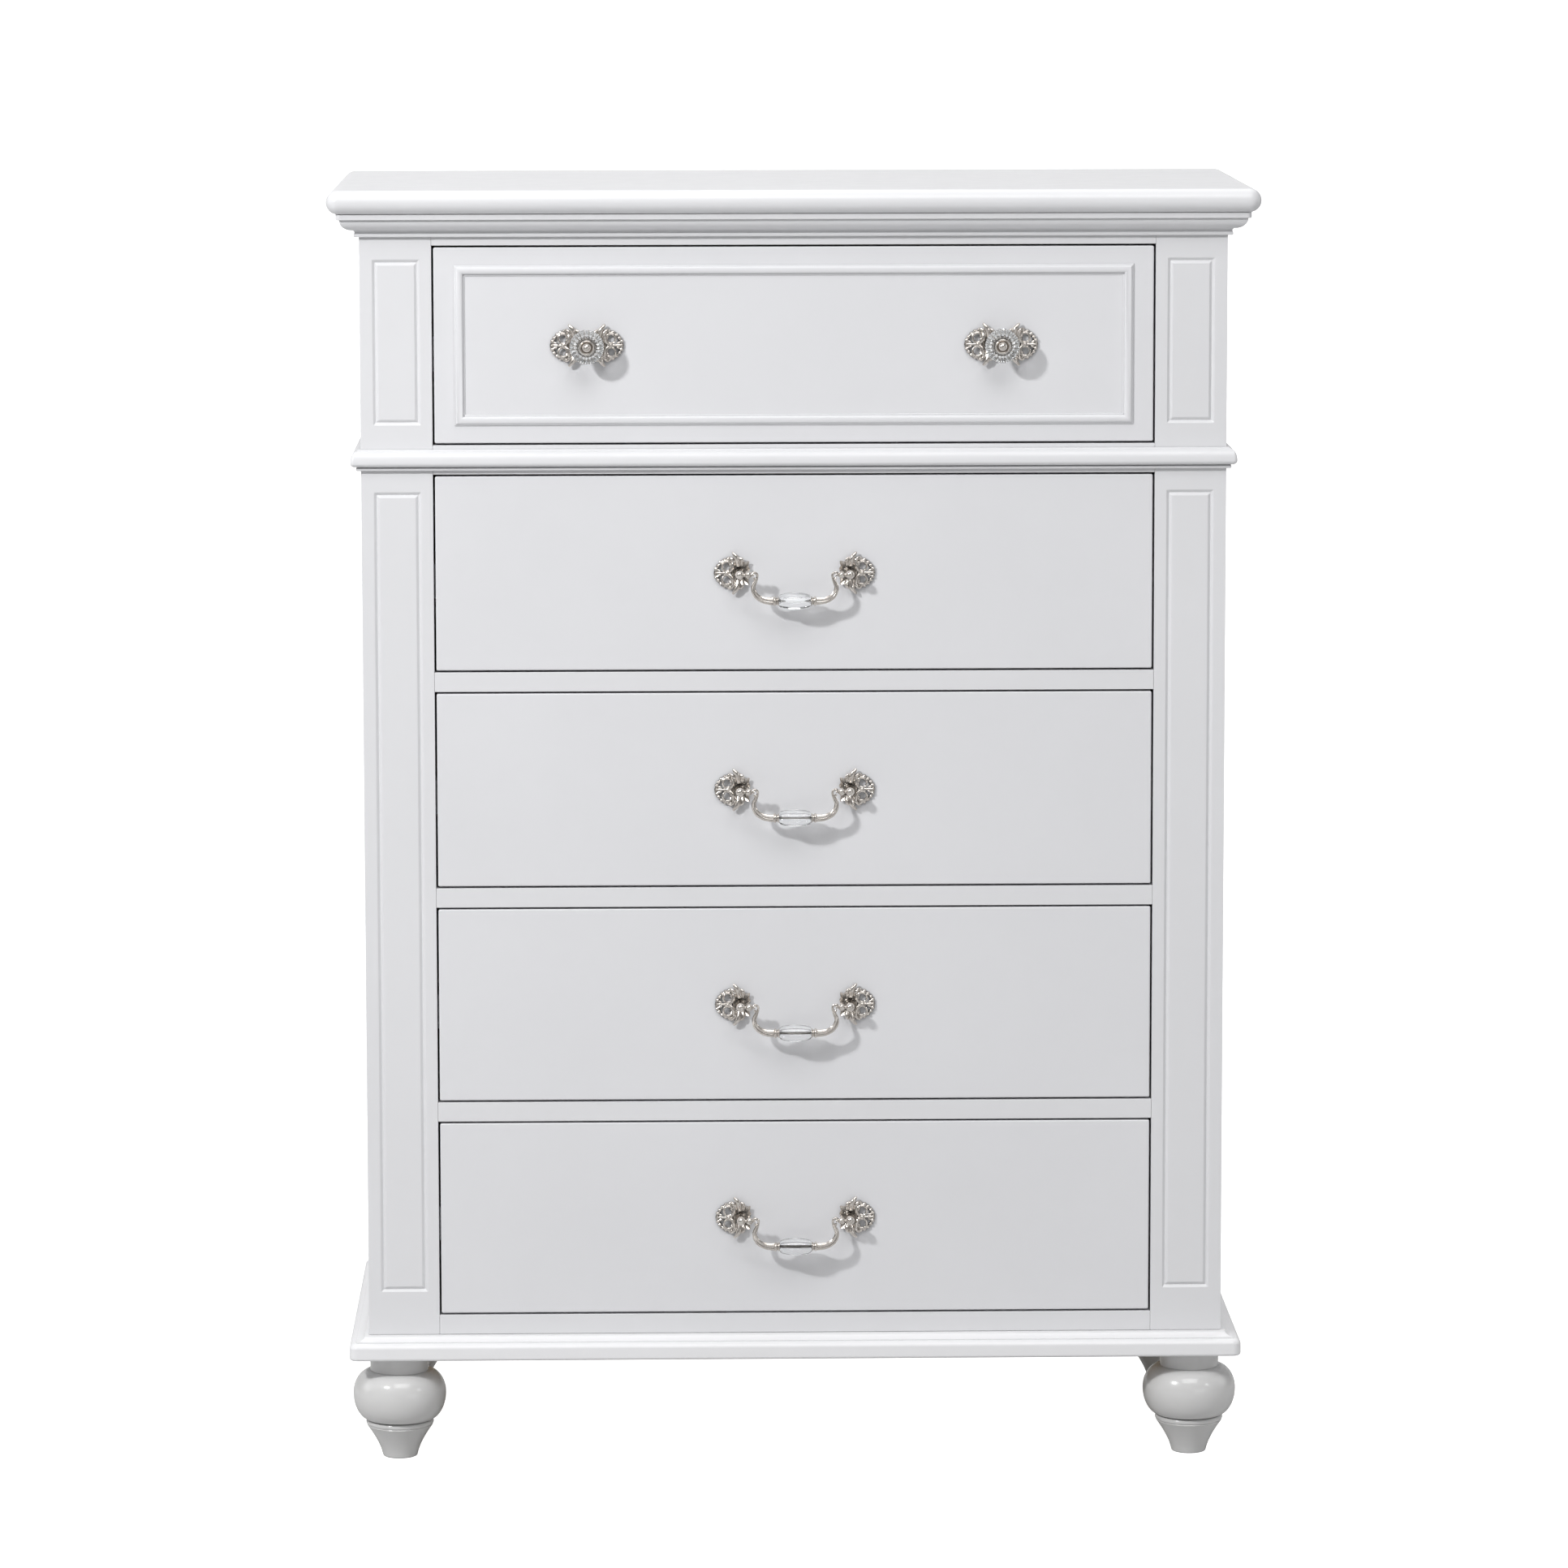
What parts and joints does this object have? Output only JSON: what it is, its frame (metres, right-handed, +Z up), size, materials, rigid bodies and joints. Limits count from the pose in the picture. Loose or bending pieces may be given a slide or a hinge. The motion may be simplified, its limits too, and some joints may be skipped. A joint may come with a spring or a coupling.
{
  "type": "tall chest of drawers",
  "caption": "Tall white painted chest of drawers on turned feet, with inset drawer fronts, bail pulls with crystal grips, glass knobs, and crown, waist and base mouldings.",
  "frame": {"origin": "middle of the chest's footprint, on the floor", "axes": "+Z up, -Y out of the drawer fronts, +X to the right as seen from the front"},
  "size_m": [0.944, 0.44, 1.314],
  "materials": {
    "painted_wood": "white satin lacquer",
    "bare_wood": "sanded and clear sealed",
    "plywood": "sanded plywood",
    "zinc_steel": "zinc plated",
    "antique_nickel": "polished nickel with dark recesses",
    "clear_glass": "clear cut glass"
  },
  "bodies": {
    "carcass": {"top_panel": "painted_wood", "crown_moulding": "painted_wood", "waist_moulding": "painted_wood", "base_moulding": "painted_wood", "corner_blocks": "bare_wood", "left_stile": "painted_wood", "right_stile": "painted_wood", "left_side_panel": "painted_wood", "right_side_panel": "painted_wood", "back_panel": "plywood", "base_panel": "plywood", "top_rail": "painted_wood", "waist_rail": "painted_wood", "upper_divider_rail": "painted_wood", "middle_divider_rail": "painted_wood", "lower_divider_rail": "painted_wood", "bottom_rail": "painted_wood", "front_left_foot": "painted_wood", "front_right_foot": "painted_wood", "rear_left_foot": "painted_wood", "rear_right_foot": "painted_wood", "foot_bolts": "zinc_steel", "slide_spacers": "bare_wood", "case_slides": "zinc_steel"},
    "drawer_1": {"drawer_1_front": "painted_wood", "drawer_1_moulding": "painted_wood", "drawer_1_box": "bare_wood", "drawer_1_bottom": "plywood", "drawer_1_slides": "zinc_steel", "drawer_1_knob_plates": "antique_nickel", "drawer_1_knob_glass": "clear_glass", "drawer_1_knob_buttons": "antique_nickel"},
    "drawer_2": {"drawer_2_front": "painted_wood", "drawer_2_box": "bare_wood", "drawer_2_bottom": "plywood", "drawer_2_slides": "zinc_steel", "drawer_2_pull_rosettes": "antique_nickel"},
    "drawer_2_bail": {"drawer_2_pull_bail": "antique_nickel", "drawer_2_pull_crystal": "clear_glass"},
    "drawer_3": {"drawer_3_front": "painted_wood", "drawer_3_box": "bare_wood", "drawer_3_bottom": "plywood", "drawer_3_slides": "zinc_steel", "drawer_3_pull_rosettes": "antique_nickel"},
    "drawer_3_bail": {"drawer_3_pull_bail": "antique_nickel", "drawer_3_pull_crystal": "clear_glass"},
    "drawer_4": {"drawer_4_front": "painted_wood", "drawer_4_box": "bare_wood", "drawer_4_bottom": "plywood", "drawer_4_slides": "zinc_steel", "drawer_4_pull_rosettes": "antique_nickel"},
    "drawer_4_bail": {"drawer_4_pull_bail": "antique_nickel", "drawer_4_pull_crystal": "clear_glass"},
    "drawer_5": {"drawer_5_front": "painted_wood", "drawer_5_box": "bare_wood", "drawer_5_bottom": "plywood", "drawer_5_slides": "zinc_steel", "drawer_5_pull_rosettes": "antique_nickel"},
    "drawer_5_bail": {"drawer_5_pull_bail": "antique_nickel", "drawer_5_pull_crystal": "clear_glass"}
  },
  "joints": [
    {"name": "drawer_1_slide", "type": "slide", "parent": "carcass", "child": "drawer_1", "axis": [0, -1, 0], "range_m": [0, 0.26]},
    {"name": "drawer_2_slide", "type": "slide", "parent": "carcass", "child": "drawer_2", "axis": [0, -1, 0], "range_m": [0, 0.26]},
    {"name": "drawer_3_slide", "type": "slide", "parent": "carcass", "child": "drawer_3", "axis": [0, -1, 0], "range_m": [0, 0.26]},
    {"name": "drawer_4_slide", "type": "slide", "parent": "carcass", "child": "drawer_4", "axis": [0, -1, 0], "range_m": [0, 0.26]},
    {"name": "drawer_5_slide", "type": "slide", "parent": "carcass", "child": "drawer_5", "axis": [0, -1, 0], "range_m": [0, 0.26]},
    {"name": "drawer_2_bail_hinge", "type": "hinge", "parent": "drawer_2", "child": "drawer_2_bail", "pos_m": [0, -0.202, 0.9235], "axis": [-1, 0, 0], "range_deg": [-25, 110]},
    {"name": "drawer_3_bail_hinge", "type": "hinge", "parent": "drawer_3", "child": "drawer_3_bail", "pos_m": [0, -0.202, 0.7009], "axis": [-1, 0, 0], "range_deg": [-25, 110]},
    {"name": "drawer_4_bail_hinge", "type": "hinge", "parent": "drawer_4", "child": "drawer_4_bail", "pos_m": [0, -0.202, 0.4783], "axis": [-1, 0, 0], "range_deg": [-25, 110]},
    {"name": "drawer_5_bail_hinge", "type": "hinge", "parent": "drawer_5", "child": "drawer_5_bail", "pos_m": [0, -0.202, 0.2557], "axis": [-1, 0, 0], "range_deg": [-25, 110]}
  ]
}
